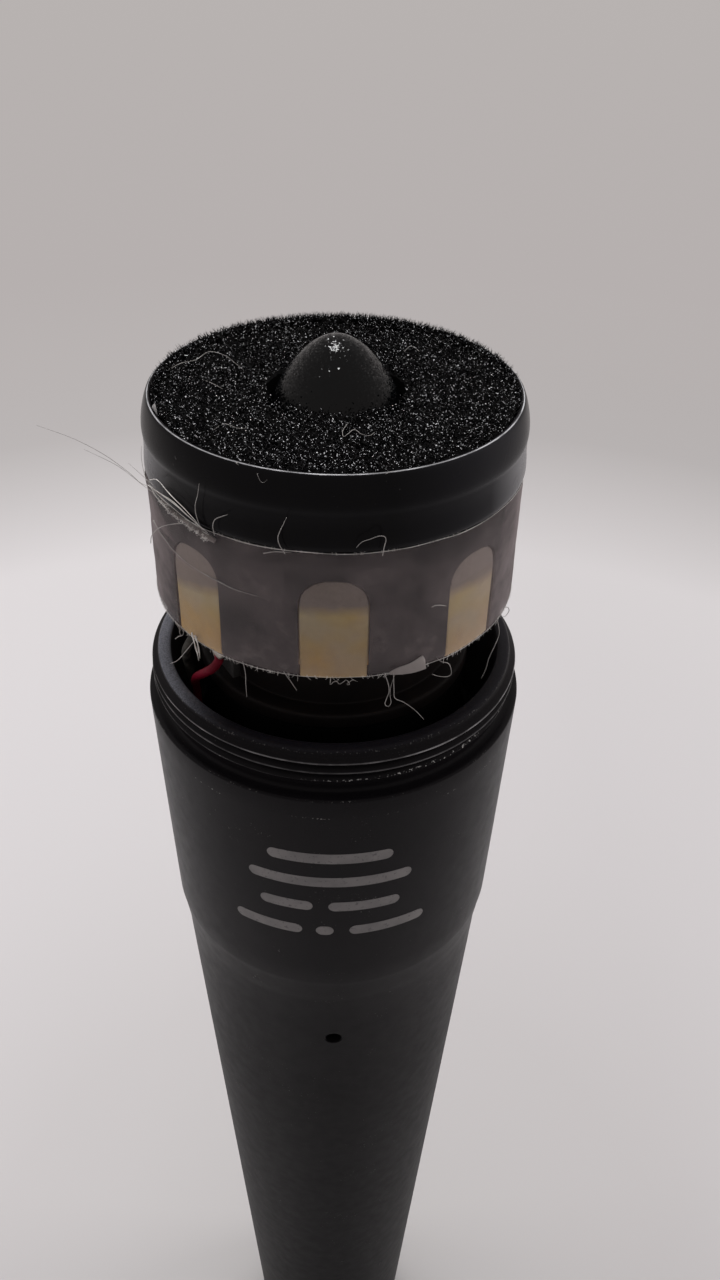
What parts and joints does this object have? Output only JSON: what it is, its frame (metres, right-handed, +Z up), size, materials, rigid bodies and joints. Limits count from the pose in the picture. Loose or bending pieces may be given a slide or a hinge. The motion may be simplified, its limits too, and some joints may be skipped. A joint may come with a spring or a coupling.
{
  "type": "dynamic microphone",
  "caption": "Wired handheld dynamic microphone with its grille off: tapered handle with connector socket, open capsule with foam, domed resonator and arched side ports.",
  "frame": {"origin": "centre of the handle's bottom ring, the face it stands on", "axes": "+Z up along the handle to the dome, -Y to the front, where the barrel's small hole is, +X to the front's right"},
  "size_m": [0.0372, 0.0372, 0.1815],
  "materials": {
    "handle_paint": "satin black coating on a die casting, worn pale in specks along the edges of the thread and shoulder",
    "insert_plastic": "black moulded plastic",
    "pin_nickel": "nickel-plated turned pins",
    "contact_brass": "plain stamped contact metal",
    "screw_steel": "blackened steel",
    "mount_rubber": "soft black rubber",
    "chamber_plastic": "black moulded plastic",
    "housing_plastic": "black moulded plastic",
    "screen_cloth": "sheer grey woven screen, creased, its cut edges frayed",
    "cream_plastic": "cream moulded plastic",
    "grey_felt": "grey felt",
    "magnet_steel": "plated steel",
    "magnet_alloy": "grey sintered magnet",
    "coil_copper": "fine enamelled copper wire",
    "film": "thin clear film",
    "clamp_plastic": "black moulded plastic",
    "dome_plastic": "satin black plastic with a fine grain",
    "black_foam": "black open-cell foam that glints",
    "cap_plastic": "glossy black plastic",
    "board_laminate": "brown laminate",
    "solder": "dull solder",
    "red_insulation": "soft red insulation",
    "white_insulation": "soft greyish white insulation"
  },
  "bodies": {
    "root": {"handle_shell": "handle_paint", "xlr_insert": "insert_plastic", "xlr_pin_1": "pin_nickel", "xlr_pin_2": "pin_nickel", "xlr_pin_3": "pin_nickel", "ground_ring": "contact_brass", "xlr_set_screw": "screw_steel", "shock_mount": "mount_rubber", "rear_chamber": "chamber_plastic", "cartridge_housing": "housing_plastic", "screen_tape": "screen_cloth", "transducer_frame": "cream_plastic", "felt_ring": "grey_felt", "yoke": "magnet_steel", "magnet": "magnet_alloy", "pole_piece": "magnet_steel", "voice_coil": "coil_copper", "diaphragm": "film", "clamp_ring": "clamp_plastic", "resonator_plate": "dome_plastic", "foam_disk": "black_foam", "cap_ring": "cap_plastic", "terminal_board": "board_laminate", "solder_joint_red": "solder", "solder_joint_white": "solder", "lead_red": "red_insulation", "lead_white": "white_insulation"}
  },
  "joints": []
}
